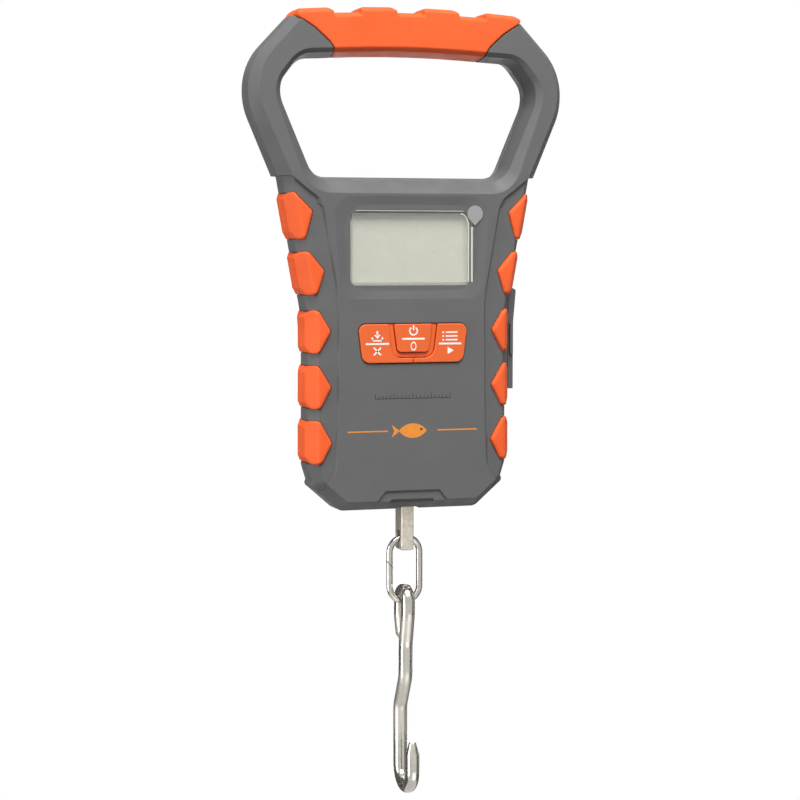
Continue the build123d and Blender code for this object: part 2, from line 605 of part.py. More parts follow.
# ---------------------------------------------------------------- weighing train
def load_cell(bottom, middle):
    """Bending beam with a double hole, and the strain gauges over its two thin places."""
    y0, y1 = LOAD_Y - BEAM_SIDE / 2, LOAD_Y + BEAM_SIDE / 2
    beam = box(-BEAM_HALF, BEAM_HALF, y0, y1, bottom, BEAM_TOP)
    beam = beam - rod_y(-FLEX_X, middle, 4.6, -20, 20) - rod_y(FLEX_X, middle, 4.6, -20, 20)
    beam = beam - box(-FLEX_X, FLEX_X, -20, 20, middle - 1.2, middle + 1.2)
    for x in BEAM_SCREW_X:
        beam = beam - rod_z(-x, LOAD_Y, 2.0, middle, BEAM_TOP + 1) - rod_z(x, LOAD_Y, 2.0, bottom - 1, middle)
    save(beam, "load_cell")
    gauges = [box(x - 3, x + 3, LOAD_Y - 3, LOAD_Y + 3, BEAM_TOP, BEAM_TOP + 0.6) for x in (-FLEX_X, FLEX_X)]
    save_group(gauges, "strain_gauges")


def cell_bracket(middle):
    """Angle bracket that fixes the left end of the load cell to the rear cover, with its screws."""
    front = ANCHOR_BACK - 2.6
    top = BEAM_TOP + 3.0
    bracket = box(-BEAM_HALF, -ANCHOR_END, LOAD_Y - BEAM_SIDE / 2, ANCHOR_BACK, BEAM_TOP, top)
    bracket = bracket + box(-BEAM_HALF, -ANCHOR_END, front, ANCHOR_BACK, BEAM_TOP, ANCHOR_SCREW_Z + 5.0)
    screws = []
    for x in ANCHOR_SCREW_X:
        bracket = bracket - rod_y(x, ANCHOR_SCREW_Z, 1.7, 0, 20)
        head = rod_y(x, ANCHOR_SCREW_Z, 3.0, front - 1.8, front)
        screws.append(head + rod_y(x, ANCHOR_SCREW_Z, 1.5, front, 9.4))
    for x in BEAM_SCREW_X:
        bracket = bracket - rod_z(-x, LOAD_Y, 2.1, -200, 0)
        screws.append(rod_z(-x, LOAD_Y, 3.2, top, top + 2.0) + rod_z(-x, LOAD_Y, 1.9, middle + 1, top))
    save(bracket, "cell_bracket")
    save_group(screws, "bracket_screws")


def square_bar(z0, z1):
    """The load bar's plain section between two heights."""
    return box(-BAR_W / 2, BAR_W / 2, LOAD_Y - BAR_D / 2, LOAD_Y + BAR_D / 2, z0, z1)


def load_arm(bottom, middle):
    """Arm under the right end of the load cell, which carries the load bar on a cross pin."""
    y0, y1 = LOAD_Y - 6, LOAD_Y + 6
    underside = bottom - 0.8
    arm = box(BEAM_SCREW_X[0] - 4, BEAM_HALF, y0, y1, ARM_BOTTOM, bottom)
    arm = arm + box(-5.5, BEAM_HALF, y0, y1, ARM_BOTTOM, underside)
    screws = []
    for x in BEAM_SCREW_X:
        arm = arm - rod_z(x, LOAD_Y, 2.1, -200, 0)
        head = rod_z(x, LOAD_Y, 3.2, ARM_BOTTOM - 2.0, ARM_BOTTOM)
        screws.append(head + rod_z(x, LOAD_Y, 1.9, ARM_BOTTOM, middle - 1))
    socket = square_bar(-200, 0)
    pin = rod_x(LOAD_Y, (ARM_BOTTOM + underside) / 2, 1.25, -5.3, 5.3)
    save(arm - socket - pin, "load_arm")
    save_group(screws, "arm_screws")
    save(pin, "bar_pin")
    bar = square_bar(BAR_END, bottom - 1.0)
    bar = fillet(bar.edges().filter_by(lambda e: abs(e.center().Z - BAR_END) < 0.01), 0.9)
    bar = chamfer(bar.edges().filter_by(Axis.Z), 0.35)
    slot = box(-10, 10, LOAD_Y - SLOT_R, LOAD_Y + SLOT_R, BAR_HOLE_Z - SLOT_SHIFT, BAR_HOLE_Z + SLOT_SHIFT)
    for shift in (-SLOT_SHIFT, SLOT_SHIFT):
        slot = slot + rod_x(LOAD_Y, BAR_HOLE_Z + shift, SLOT_R, -10, 10)
    save(bar - slot - pin, "load_bar")


def load_train():
    bottom = BEAM_TOP - BEAM_SIDE
    middle = BEAM_TOP - BEAM_SIDE / 2
    load_cell(bottom, middle)
    cell_bracket(middle)
    load_arm(bottom, middle)


def load_line(path):
    """A path drawn in the Y-Z plane, moved onto the load line."""
    return Pos(0, LOAD_Y, 0) * (Plane.YZ * path)


def link():
    """One welded chain link, hung through the load bar."""
    top = LINK_TOP_Z - LINK_R
    low = LINK_TOP_Z - LINK_LENGTH + LINK_R
    path = Wire([
        ThreePointArc((LINK_R, top), (0, LINK_TOP_Z), (-LINK_R, top)).edge(),
        Line((-LINK_R, top), (-LINK_R, low)).edge(),
        ThreePointArc((-LINK_R, low), (0, low - LINK_R), (LINK_R, low)).edge(),
        Line((LINK_R, low), (LINK_R, top)).edge(),
    ])
    path = Pos(0, LOAD_Y, 0) * (Plane.XZ * path)
    start = Plane(origin=(LINK_R, LOAD_Y, top), z_dir=(0, 0, 1))
    save(sweep(start * Circle(LINK_WIRE), path=path), "link")


def hook():
    """Bent wire hook: narrow eye, shank cranked backwards, open bowl with a blunt pointed tip."""
    arch = ThreePointArc((EYE_R, EYE_TOP_Z - EYE_R), (0, EYE_TOP_Z), (-EYE_R, EYE_TOP_Z - EYE_R)).edge()
    shank = FilletPolyline((-EYE_R, EYE_TOP_Z - EYE_R), (-EYE_R, -221.5), (-1.5, -234.0), (-1.3, -246.6),
                           (SHANK_BACK, -259.0), (SHANK_BACK, BOWL_Z), radius=[14, 14, 9, 9])
    bowl = ThreePointArc((SHANK_BACK, BOWL_Z), (SHANK_BACK - BOWL_R, BOWL_Z - BOWL_R),
                         (SHANK_BACK - 2 * BOWL_R, BOWL_Z)).edge()
    tip = Line((SHANK_BACK - 2 * BOWL_R, BOWL_Z), (SHANK_BACK - 2 * BOWL_R, TIP_SHOULDER_Z)).edge()
    tail = FilletPolyline((EYE_R, EYE_TOP_Z - EYE_R), (EYE_R, -224.0), (2.2, -230.2), radius=9)
    main = load_line(Wire([arch] + list(shank.edges()) + [bowl, tip]))
    wire = sweep(Plane(origin=main @ 0, z_dir=main % 0) * Circle(HOOK_WIRE), path=main)
    end = load_line(Wire(tail.edges()))
    wire += sweep(Plane(origin=end @ 0, z_dir=end % 0) * Circle(HOOK_WIRE), path=end)
    wire += Plane(origin=end @ 1, z_dir=end % 1) * Pos(0, 0, 1.2) * Cone(HOOK_WIRE, 1.4, 2.4)
    point = Cone(HOOK_WIRE, 1.3, TIP_LENGTH)
    point = fillet(point.edges().sort_by(Axis.Z)[-1], 0.5)
    wire += Plane(origin=main @ 1, z_dir=main % 1) * Pos(0, 0, TIP_LENGTH / 2) * point
    save(wire, "hook")


# ---------------------------------------------------------------- build
os.makedirs("parts", exist_ok=True)
outer = envelope()
pad_form = pad_seat()
grips()
shells(outer, pad_form)
save_pads(pad_form, box(33.5, 60, SEAT_FRONT - 0.3, 30, PACK_Z - 20.4, PACK_Z + 20.4))
housing_screws()
display()
keypad()
electronics()
battery_pack()
battery_door()
load_train()
link()
hook()
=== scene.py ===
import json
import math

import bmesh
import bpy
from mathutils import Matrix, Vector


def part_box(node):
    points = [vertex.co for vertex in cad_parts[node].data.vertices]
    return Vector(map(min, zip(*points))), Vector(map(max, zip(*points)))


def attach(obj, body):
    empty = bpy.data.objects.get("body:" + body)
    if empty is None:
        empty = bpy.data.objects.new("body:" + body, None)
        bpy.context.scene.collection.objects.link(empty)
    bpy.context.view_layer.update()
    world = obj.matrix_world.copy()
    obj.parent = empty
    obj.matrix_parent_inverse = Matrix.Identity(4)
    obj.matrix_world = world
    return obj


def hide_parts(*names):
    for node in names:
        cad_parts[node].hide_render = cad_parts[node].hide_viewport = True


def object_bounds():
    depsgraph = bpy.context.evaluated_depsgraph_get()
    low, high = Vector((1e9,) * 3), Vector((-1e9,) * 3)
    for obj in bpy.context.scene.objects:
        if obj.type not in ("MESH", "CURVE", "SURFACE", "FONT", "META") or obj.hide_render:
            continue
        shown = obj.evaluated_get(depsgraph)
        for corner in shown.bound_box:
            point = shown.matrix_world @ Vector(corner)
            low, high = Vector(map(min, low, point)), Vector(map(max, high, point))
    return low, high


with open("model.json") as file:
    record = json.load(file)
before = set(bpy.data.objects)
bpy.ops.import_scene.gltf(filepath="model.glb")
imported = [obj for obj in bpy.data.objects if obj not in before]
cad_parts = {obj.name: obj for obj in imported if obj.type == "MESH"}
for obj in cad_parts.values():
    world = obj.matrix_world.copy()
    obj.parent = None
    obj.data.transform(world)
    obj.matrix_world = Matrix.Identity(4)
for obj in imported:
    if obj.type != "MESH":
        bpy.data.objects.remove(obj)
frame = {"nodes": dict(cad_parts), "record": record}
nodes = frame["nodes"]
cad_low, cad_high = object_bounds()

MM = 0.001
WELD = 1e-6                      # points closer than this are one point

# The camera, in degrees and metres.
VIEW_YAW = 18.0                  # from the display's normal to the camera
VIEW_PITCH = 4.11
VIEW_DISTANCE = 0.7974
VIEW_AIM = Vector((-0.00515, -0.0115, -0.13819))
LENS_MM, SENSOR_MM = 94.4, 36.0

# Prints and films, in millimetres. Each is a thin plate that stands a little out of its face.
PRINT = 0.05                     # thickness of a print
KEY_INK = 0.03                   # how far a key's sign stands out of the key
BAR_LENGTH, BAR_HEIGHT = 9.0, 0.7
STROKE = 0.55                    # line width inside a key's sign
TICKS_Z, TICK_STEP, TICKS_EACH_WAY = -137.5, 1.5, 10
FISH_Z, FISH_ARC, FISH_ARC_SHIFT = -150.0, 7.0, 4.2
LABEL_HALF, LABEL_BOTTOM, LABEL_TOP, LABEL_CORNER = 19.4, -94.4, -69.6, 2.6
TAB_R = 3.15                     # round end of the film's pull tab

# Seam of the link: its place up the link, its slope, and in metres how far it stands out and up.
SEAM_AT, SEAM_SLOPE = 0.57, 1.1
SEAM_OUT, SEAM_UP = 0.00016, 0.0002

# Stage, in metres.
FLOOR_DROP = 0.16                # floor below the hook
FLOOR_R, ROOM_R = 8.0, 8.2
STRIP_TURNS = (82, 98, 114, 130, 146, 162, 198, 214, 230, 246, 262, 278)   # degrees round from the camera
STRIP_REACH, STRIP_HALF_HEIGHT, STRIP_HALF_ANGLE = 0.9, 0.9, 7.0

BODY_OF = {
    node: body for body, members in frame["record"]["behaviour"]["bodies"].items() for node in members
}


# ---------------------------------------------------------------- materials
def linear(colour):
    """sRGB values from 0 to 255 as linear light."""
    return [((value / 255 + 0.055) / 1.055) ** 2.4 for value in colour]


def noise(tree, scale, detail=3.0, roughness=0.55):
    """Noise in the object's own frame, so that it stays on a piece when the piece moves."""
    place = tree.nodes.new("ShaderNodeTexCoord")
    pattern = tree.nodes.new("ShaderNodeTexNoise")
    pattern.inputs["Scale"].default_value = scale
    pattern.inputs["Detail"].default_value = detail
    pattern.inputs["Roughness"].default_value = roughness
    tree.links.new(place.outputs["Object"], pattern.inputs["Vector"])
    return pattern.outputs["Fac"]


def ramp(tree, source, stops):
    """Colours along a value, as (position, linear colour) pairs."""
    node = tree.nodes.new("ShaderNodeValToRGB")
    elements = node.color_ramp.elements
    while len(elements) < len(stops):
        elements.new(0.5)
    for element, (position, colour) in zip(elements, stops):
        element.position = position
        element.color = (*colour, 1.0)
    tree.links.new(source, node.inputs["Fac"])
    return node.outputs["Color"]


def bump(tree, layers, edge):
    """Raised grain from (noise scale, height in metres) layers, over edges softened to a small radius."""
    below = None
    if edge:
        soft = tree.nodes.new("ShaderNodeBevel")
        soft.samples = 4
        soft.inputs["Radius"].default_value = edge * MM
        below = soft.outputs["Normal"]
    for scale, height in layers:
        node = tree.nodes.new("ShaderNodeBump")
        node.inputs["Distance"].default_value = height
        tree.links.new(noise(tree, scale, 2.0), node.inputs["Height"])
        if below is not None:
            tree.links.new(below, node.inputs["Normal"])
        below = node.outputs["Normal"]
    return below


def surface(name, colour, roughness, metallic=0.0, drift=0.06, drift_scale=70.0, spread=0.08,
            layers=((3200.0, 2e-5),), alpha=1.0, edge=0.0, specular=0.5):
    """A finish whose colour and gloss drift a little over the piece, with a fine grain."""
    material = bpy.data.materials.new(name)
    material.use_nodes = True
    tree = material.node_tree
    shader = tree.nodes["Principled BSDF"]
    shader.inputs["Metallic"].default_value = metallic
    shader.inputs["Specular IOR Level"].default_value = specular
    shader.inputs["Alpha"].default_value = alpha
    base = linear(colour)
    darker = [value * (1 - drift) for value in base]
    lighter = [min(value * (1 + drift), 1.0) for value in base]
    tint = ramp(tree, noise(tree, drift_scale), [(0.3, darker), (0.7, lighter)])
    tree.links.new(tint, shader.inputs["Base Color"])
    low, high = max(roughness - spread, 0.02), min(roughness + spread, 1.0)
    gloss = ramp(tree, noise(tree, drift_scale * 2.3), [(0.3, [low] * 3), (0.7, [high] * 3)])
    tree.links.new(gloss, shader.inputs["Roughness"])
    if layers or edge:
        tree.links.new(bump(tree, layers, edge), shader.inputs["Normal"])
    return material


GREY = surface("moulded_grey", (93, 93, 93), 0.58, drift=0.035, layers=((900.0, 1.5e-5), (4200.0, 1.6e-5)),
               edge=0.45, specular=0.4)
ORANGE = surface("rubber_orange", (243, 97, 42), 0.55, drift=0.05, layers=((500.0, 2e-5), (3800.0, 1.2e-5)),
                 specular=0.22)
KEY_ORANGE = surface("key_orange", (228, 98, 36), 0.42, drift=0.04, layers=((2600.0, 8e-6),))
WHITE_INK = surface("white_ink", (240, 240, 236), 0.5, drift=0.03, layers=())
DARK_INK = surface("dark_ink", (38, 38, 40), 0.5, drift=0.1, drift_scale=400.0, layers=())
AMBER_INK = surface("amber_ink", (232, 140, 44), 0.45, drift=0.06, drift_scale=300.0, layers=())
BLACK_RUBBER = surface("black_rubber", (26, 26, 27), 0.7, drift=0.15, layers=((1500.0, 2e-5),))
BLACK_PLASTIC = surface("black_plastic", (36, 36, 38), 0.5, drift=0.12, layers=((2500.0, 1.2e-5),))
LCD_PLASTIC = surface("lcd_surround", (186, 187, 172), 0.5, drift=0.03, layers=((2500.0, 8e-6),))
LCD_GREY = surface("lcd_grey", (214, 214, 196), 0.28, drift=0.02, drift_scale=28.0, spread=0.04, layers=())
CLEAR = surface("clear_acrylic", (235, 238, 232), 0.06, drift=0.01, spread=0.02, layers=(), alpha=0.08)
FILM = surface("thin_film", (222, 223, 216), 0.12, drift=0.01, spread=0.04, layers=(), alpha=0.08)
FILM_TAB = surface("film_tab", (164, 162, 162), 0.34, drift=0.03, spread=0.06, layers=((700.0, 1e-5),),
                   alpha=0.85)
# Painted highlight: a bright strip along the protective film's edge, where that edge catches the light.
FILM_RIM_HIGHLIGHT = surface("film_rim_highlight", (236, 238, 230), 0.2, drift=0.02, layers=(), alpha=0.85)
# Painted highlights: bright strips on the lens front where its right edge and the top edge of its recess
# catch the light.
LENS_EDGE_HIGHLIGHT = surface("lens_edge_highlight", (210, 213, 198), 0.2, drift=0.02, layers=())
# Painted shade: a dark line on the lens front for the darker border between the display and the lens's right
# edge.
GAP_SHADE = surface("painted_gap_shade", (92, 92, 88), 0.5, drift=0.05, layers=())
BOARD = surface("solder_resist", (18, 78, 44), 0.35, drift=0.2, drift_scale=900.0, layers=((1200.0, 2e-5),))
CELL_WRAP = surface("cell_wrap", (96, 100, 106), 0.3, metallic=0.5, drift=0.08, layers=((300.0, 1e-5),))
STEEL = surface("zinc_steel", (172, 172, 168), 0.34, metallic=1.0, drift=0.12, drift_scale=400.0,
                layers=((1800.0, 1e-5),))
ALUMINIUM = surface("machined_aluminium", (205, 207, 211), 0.38, metallic=1.0, drift=0.05, drift_scale=300.0,
                    layers=((2200.0, 8e-6),))
CAST = surface("cast_nickel", (190, 182, 169), 0.46, metallic=0.75, drift=0.16, drift_scale=900.0,
               layers=((1700.0, 1.1e-4), (5000.0, 4e-5)), edge=0.35)
SEAM_GREY = surface("weld_grey", (84, 80, 74), 0.5, metallic=0.6, layers=((1800.0, 6e-5),))
LINK_NICKEL = surface("drawn_nickel", (182, 179, 172), 0.16, metallic=1.0, drift=0.08, drift_scale=500.0,
                      spread=0.06, layers=((260.0, 3e-5), (1600.0, 6e-6)))
LABEL = surface("blank_label", (188, 190, 192), 0.36, metallic=0.4, drift=0.03, layers=((1500.0, 6e-6),))


def worn_nickel():
    """Bright plating on the hook, duller over two stretches of its height."""
    material = surface("worn_nickel", (186, 182, 173), 0.22, metallic=1.0, drift=0.10, drift_scale=260.0,
                       layers=((220.0, 5e-5), (1500.0, 1e-5)))
    tree = material.node_tree
    place = tree.nodes.new("ShaderNodeTexCoord")
    split = tree.nodes.new("ShaderNodeSeparateXYZ")
    tree.links.new(place.outputs["Object"], split.inputs["Vector"])
    low, high = (corner.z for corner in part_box("hook"))
    height = tree.nodes.new("ShaderNodeMapRange")
    height.inputs["From Min"].default_value = low
    height.inputs["From Max"].default_value = high
    tree.links.new(split.outputs["Z"], height.inputs["Value"])
    bright, dull = [0.18] * 3, [0.42] * 3
    stops = [(0.20, bright), (0.30, dull), (0.54, dull), (0.62, bright), (0.70, bright), (0.74, dull),
             (0.83, dull), (0.87, bright)]
    gloss = ramp(tree, height.outputs["Result"], stops)
    tree.links.new(gloss, tree.nodes["Principled BSDF"].inputs["Roughness"])
    return material


HOOK_NICKEL = worn_nickel()


# ---------------------------------------------------------------- making pieces
def add_object(name, mesh):
    piece = bpy.data.objects.new(name, mesh)
    bpy.context.scene.collection.objects.link(piece)
    return piece


def finish_piece(piece, body, material):
    piece.data.materials.clear()
    piece.data.materials.append(material)
    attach(piece, body)
    return piece


def paint(material, *members):
    """Gives CAD nodes a finish and leaves their shape alone."""
    for node in members:
        nodes[node].data.materials.clear()
        nodes[node].data.materials.append(material)


def softened(node, material, voxel=0.5, rounds=4):
    """A rubber node's own shape with every edge rounded off, shown in its place."""
    mesh = nodes[node].data.copy()
    mesh.name = node + "_soft"
    work = bmesh.new()
    work.from_mesh(mesh)
    bmesh.ops.remove_doubles(work, verts=work.verts, dist=WELD)
    work.to_mesh(mesh)
    work.free()
    for extra in ("custom_normal", "sharp_edge", "sharp_face"):
        if extra in mesh.attributes:
            mesh.attributes.remove(mesh.attributes[extra])
    piece = add_object(node + "_soft", mesh)
    skin = piece.modifiers.new("even_mesh", "REMESH")
    skin.mode = "VOXEL"
    skin.voxel_size = voxel * MM
    skin.use_smooth_shade = True
    rounding = piece.modifiers.new("rounded_edges", "SMOOTH")
    rounding.factor = 0.5
    rounding.iterations = rounds
    finish_piece(piece, BODY_OF[node], material)
    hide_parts(node)
    return piece


def plate(name, outlines, front, thickness, body, material):
    """Flat shapes, each a list of (x, z) points in millimetres, standing from y = front towards the back."""
    work = bmesh.new()
    for points in outlines:
        face = work.faces.new([work.verts.new((x * MM, front * MM, z * MM)) for x, z in points])
        made = bmesh.ops.extrude_face_region(work, geom=[face])["geom"]
        moved = [item for item in made if isinstance(item, bmesh.types.BMVert)]
        bmesh.ops.translate(work, vec=(0, thickness * MM, 0), verts=moved)
    bmesh.ops.recalc_face_normals(work, faces=work.faces)
    mesh = bpy.data.meshes.new(name)
    work.to_mesh(mesh)
    work.free()
    return finish_piece(add_object(name, mesh), body, material)


def bar(x, z, width, height):
    return [(x - width / 2, z - height / 2), (x + width / 2, z - height / 2),
            (x + width / 2, z + height / 2), (x - width / 2, z + height / 2)]


def turned(points, x, z, degrees):
    """Points turned about (x, z)."""
    c, s = math.cos(math.radians(degrees)), math.sin(math.radians(degrees))
    return [(x + (px - x) * c - (pz - z) * s, z + (px - x) * s + (pz - z) * c) for px, pz in points]


def arc(x, z, radius, start, end, steps=14, squeeze=1.0):
    """Points on an arc, squeezed sideways for an oval."""
    angles = [math.radians(start + (end - start) * i / steps) for i in range(steps + 1)]
    return [(x + radius * squeeze * math.cos(a), z + radius * math.sin(a)) for a in angles]


def band(x, z, inner, outer, start, end, squeeze=1.0):
    """An arc with a width, as short four-sided pieces."""
    near = arc(x, z, inner, start, end, squeeze=squeeze)
    far = arc(x, z, outer, start, end, squeeze=squeeze)
    return [[near[i], far[i], far[i + 1], near[i + 1]] for i in range(len(near) - 1)]


def rounded(left, right, bottom, top, radii):
    """A rectangle with corner radii in the order lower left, lower right, upper right, upper left."""
    centres = [(left, bottom, 1, 1), (right, bottom, -1, 1), (right, top, -1, -1), (left, top, 1, -1)]
    points = []
    for (x, z, in_x, in_z), radius, start in zip(centres, radii, (180, 270, 0, 90)):
        points += arc(x + in_x * radius, z + in_z * radius, radius, start, start + 90, steps=8)
    return points


def strip(points, width):
    """A line of points with a width, as four-sided pieces."""
    pieces = []
    for (x0, z0), (x1, z1) in zip(points, points[1:]):
        length = math.hypot(x1 - x0, z1 - z0)
        side_x, side_z = (z1 - z0) / length * width / 2, -(x1 - x0) / length * width / 2
        pieces.append([(x0 - side_x, z0 - side_z), (x1 - side_x, z1 - side_z),
                       (x1 + side_x, z1 + side_z), (x0 + side_x, z0 + side_z)])
    return pieces


# ---------------------------------------------------------------- housing, grip and pads
paint(GREY, "front_cover", "rear_cover", "battery_door")
for side in ("front", "rear"):
    softened("grip_" + side, ORANGE, voxel=0.4, rounds=4)
    for hand in ("left", "right"):
        softened(f"pads_{side}_{hand}", ORANGE)


# ---------------------------------------------------------------- keys and their printed signs
paint(KEY_ORANGE, "save_key", "power_key", "select_key")
key_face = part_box("power_key")[0].y / MM


def middle_of(node):
    low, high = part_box(node)
    return (low.x + high.x) / 2 / MM, (low.z + high.z) / 2 / MM


def key_sign(name, body, shapes):
    plate(name, shapes, key_face - KEY_INK, KEY_INK * 1.5, body, WHITE_INK)


def save_sign():
    """Arrow into a tray over a bar, and a cross under it. It stands left of the key's middle."""
    x, z = middle_of("save_key")
    x = x - 3.6
    up, down = z + 2.8, z - 2.9
    tray = [bar(x, up - 1.7, 4.6, STROKE)] + [bar(x + side, up - 1.1, STROKE, 1.6) for side in (-2.0, 2.0)]
    arrow = [bar(x, up + 1.1, 0.7, 1.7), [(x - 1.3, up + 0.5), (x, up - 0.95), (x + 1.3, up + 0.5)]]
    cross = [turned(bar(x, down, 4.0, 0.6), x, down, degrees) for degrees in (45, -45)]
    key_sign("save_sign", "save_key", tray + arrow + [bar(x, z - 0.1, BAR_LENGTH + 0.2, BAR_HEIGHT)] + cross)


def power_sign():
    """Ring with a stroke over a bar, and a nought under it."""
    x, z = middle_of("power_key")
    up, down = z + 2.7, z - 3.1
    ring = band(x, up, 1.25, 1.25 + STROKE, 125, 415) + [bar(x, up + 1.2, STROKE, 1.9)]
    nought = band(x, down, 1.2, 1.2 + STROKE, 0, 360, squeeze=0.66)
    key_sign("power_sign", "power_key", ring + [bar(x, z - 0.3, BAR_LENGTH, BAR_HEIGHT)] + nought)


def select_sign():
    """Three list lines over a bar, and a play arrow under it. It stands right of the key's middle."""
    x, z = middle_of("select_key")
    x = x + 3.9
    up, down = z + 2.6, z - 2.9
    rows = (up - 1.45, up, up + 1.45)
    lines = [bar(x + 0.6, row, 4.8, STROKE) for row in rows]
    dots = [bar(x - 2.8, row, 0.7, 0.6) for row in rows]
    play = [[(x - 1.0, down - 1.4), (x + 1.5, down), (x - 1.0, down + 1.4)]]
    key_sign("select_sign", "select_key", lines + dots + [bar(x, z - 0.3, BAR_LENGTH, BAR_HEIGHT)] + play)


save_sign()
power_sign()
select_sign()


# ---------------------------------------------------------------- display
def display():
    """Protective film with its pull tab, a painted highlight along the film's rim, and painted highlights and
    a painted shade line at the lens edges.
    """
    low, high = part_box("display_lens")
    left, right, bottom, top = low.x / MM, high.x / MM, low.z / MM, high.z / MM
    front, middle_z, height = low.y / MM, (top + bottom) / 2, top - bottom

    sheet_left, sheet_right, sheet_bottom, sheet_top = left + 0.6, right - 2.1, bottom + 0.5, top - 0.2
    corner, squeeze = 5.4, 0.62
    bend = arc(sheet_right - corner * squeeze, sheet_top - corner, corner, 90, 0, squeeze=squeeze)
    sheet = [(sheet_left, sheet_bottom), (sheet_left, sheet_top)] + bend + [(sheet_right, sheet_bottom)]
    film = plate("protective_film", [sheet], front - 0.14, 0.10, "housing", FILM)
    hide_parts("display_film")
    # Painted highlight along the film's curved upper corner and down its right side.
    rim = strip(bend + [(sheet_right, bottom + 1.2)], 0.34)
    plate("film_rim_highlight", rim, front - 0.18, PRINT, "housing", FILM_RIM_HIGHLIGHT)

    tab_x, tab_z = right + 0.5, top - 0.2
    drop = arc(tab_x, tab_z, TAB_R, -40, 225, steps=40)
    drop += [(tab_x - 0.7, tab_z - 3.9), (tab_x + 0.1, tab_z - 4.4)]
    plate("film_tab", [drop], front - 0.30, 0.08, "housing", FILM_TAB)

    # Painted highlights on the lens's right edge and along the top of its recess, and a painted shade line
    # between the display and the lens's right edge.
    side_highlight = bar(right - 0.7, middle_z - 2.0, 0.7, height - 6.4)
    top_highlight = bar(-1.0, top + 0.75, 43.0, 0.22)
    gap_shade = bar(right - 1.45, middle_z, 0.5, height - 2.4)
    plate("lens_side_highlight", [side_highlight], front - 0.04, PRINT, "housing", LENS_EDGE_HIGHLIGHT)
    plate("lens_top_highlight", [top_highlight], front - 0.02, PRINT, "housing", LENS_EDGE_HIGHLIGHT)
    plate("lens_gap_shade", [gap_shade], front - 0.04, PRINT, "housing", GAP_SHADE)


display()


# ---------------------------------------------------------------- print on the front, label on the back
def front_print():
    """A row of scale ticks, every fifth one long, and a plain fish between two lines."""
    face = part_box("front_cover")[0].y / MM
    ticks = []
    for i in range(-TICKS_EACH_WAY, TICKS_EACH_WAY + 1):
        height = 1.8 if i % 5 == 0 else 1.0
        ticks.append(bar(i * TICK_STEP, TICKS_Z + (0.9 if i % 5 == 0 else 0.5), 0.28, height))
    base_line = bar(0, TICKS_Z - 0.15, 2 * TICKS_EACH_WAY * TICK_STEP + 0.4, 0.3)
    plate("front_ticks", ticks + [base_line], face - PRINT / 2, PRINT, "housing", DARK_INK)

    upper = arc(0, FISH_Z - FISH_ARC_SHIFT, FISH_ARC, 143, 37, steps=16)
    lower = arc(0, FISH_Z + FISH_ARC_SHIFT, FISH_ARC, -37, -143, steps=16)
    body = upper + lower[1:-1]
    tail = [(-5.3, FISH_Z), (-8.4, FISH_Z + 2.5), (-7.5, FISH_Z), (-8.4, FISH_Z - 2.5)]
    lines = [bar(side * 18.0, FISH_Z, 16.0, 0.5) for side in (-1, 1)]
    plate("front_fish", [body, tail] + lines, face - PRINT / 2, PRINT, "housing", AMBER_INK)
    eye = arc(3.4, FISH_Z + 0.5, 0.5, 0, 345, steps=16)
    plate("front_fish_eye", [eye], face - PRINT * 0.7, PRINT, "housing", DARK_INK)


def rear_label():
    """Blank label in its shallow recess."""
    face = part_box("rear_cover")[1].y / MM
    outline = rounded(-LABEL_HALF, LABEL_HALF, LABEL_BOTTOM, LABEL_TOP, (LABEL_CORNER,) * 4)
    plate("rear_label", [outline], face - 0.28, 0.12, "housing", LABEL)


front_print()
rear_label()


# ---------------------------------------------------------------- weighing train
paint(CAST, "load_bar")
paint(LINK_NICKEL, "link")
paint(HOOK_NICKEL, "hook")


def weld_seam():
    """Thin slanted ring round the left leg of the link, where its wire was closed."""
    low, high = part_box("link")
    wire = (high.y - low.y) / 2
    centre = Vector((low.x + wire, (low.y + high.y) / 2, low.z + (high.z - low.z) * SEAM_AT))
    work = bmesh.new()
    around, across = 36, 8
    rings = []
    for i in range(around):
        a = 2 * math.pi * i / around
        ring = []
        for j in range(across):
            b = 2 * math.pi * j / across
            reach = wire + SEAM_OUT * math.cos(b)
            x = reach * math.cos(a)
            rise = -x * SEAM_SLOPE + SEAM_UP * math.sin(b)
            ring.append(work.verts.new(centre + Vector((x, reach * math.sin(a), rise))))
        rings.append(ring)
    for i in range(around):
        ring, after = rings[i], rings[(i + 1) % around]
        for j in range(across):
            k = (j + 1) % across
            work.faces.new((ring[j], after[j], after[k], ring[k])).smooth = True
    bmesh.ops.recalc_face_normals(work, faces=work.faces)
    mesh = bpy.data.meshes.new("weld_seam")
    work.to_mesh(mesh)
    work.free()
    finish_piece(add_object("weld_seam", mesh), "link", SEAM_GREY)


weld_seam()


# ---------------------------------------------------------------- pieces inside and behind
paint(BLACK_RUBBER, "perimeter_seal", "door_seal", "zebra_strip", "strain_gauges")
paint(BLACK_PLASTIC, "battery_box", "buzzer", "board_chips")
paint(BLACK_PLASTIC, "save_plunger", "power_plunger", "select_plunger")
paint(KEY_ORANGE, "keypad_web")
paint(BOARD, "main_board")
paint(LCD_PLASTIC, "lcd_holder")
paint(LCD_GREY, "lcd_glass")
paint(CLEAR, "display_lens")
paint(CELL_WRAP, "batteries")
paint(ALUMINIUM, "load_cell")
paint(STEEL, "housing_screws", "board_screws", "bracket_screws", "arm_screws", "door_hinge_pin", "bar_pin")
paint(STEEL, "key_switches", "battery_springs", "inner_contacts", "door_contacts", "cell_bracket", "load_arm")


